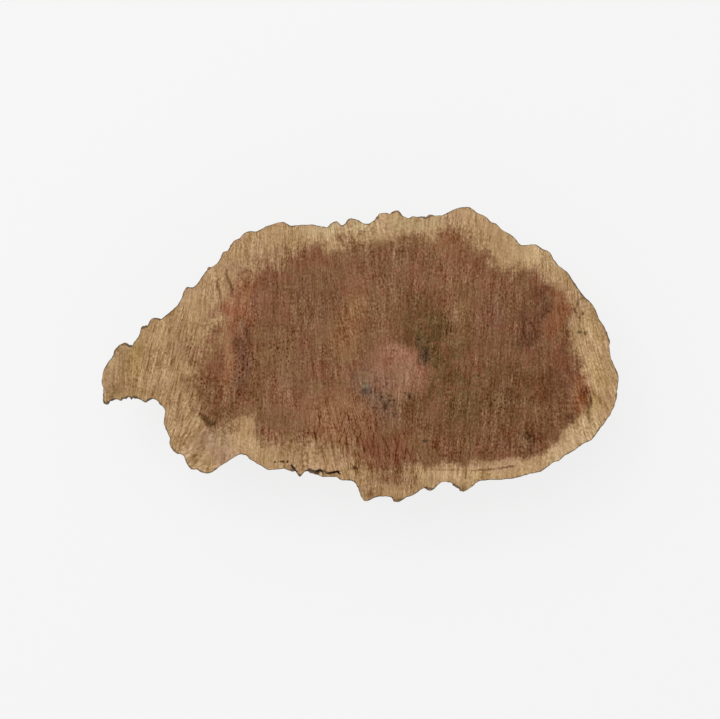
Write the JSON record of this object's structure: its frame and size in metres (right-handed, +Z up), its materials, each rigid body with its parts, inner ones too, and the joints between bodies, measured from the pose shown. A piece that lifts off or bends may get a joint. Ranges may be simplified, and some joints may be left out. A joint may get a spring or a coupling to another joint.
{
  "type": "mallee burl cap",
  "caption": "Domed slab of burl wood with one flat sawn face and a knobbly natural back, for turning, carving or mounting.",
  "frame": {"origin": "middle of the bottom of the whole piece, on the surface that it lies on", "axes": "+Z up and out of the sawn face, +X along the longest side from the narrow tail to the broad nose, +Y across"},
  "size_m": [0.3556, 0.203, 0.0762],
  "materials": {
    "burl_wood": "rough-sawn, unfinished"
  },
  "bodies": {
    "root": {"burl_cap": "burl_wood"}
  },
  "joints": []
}
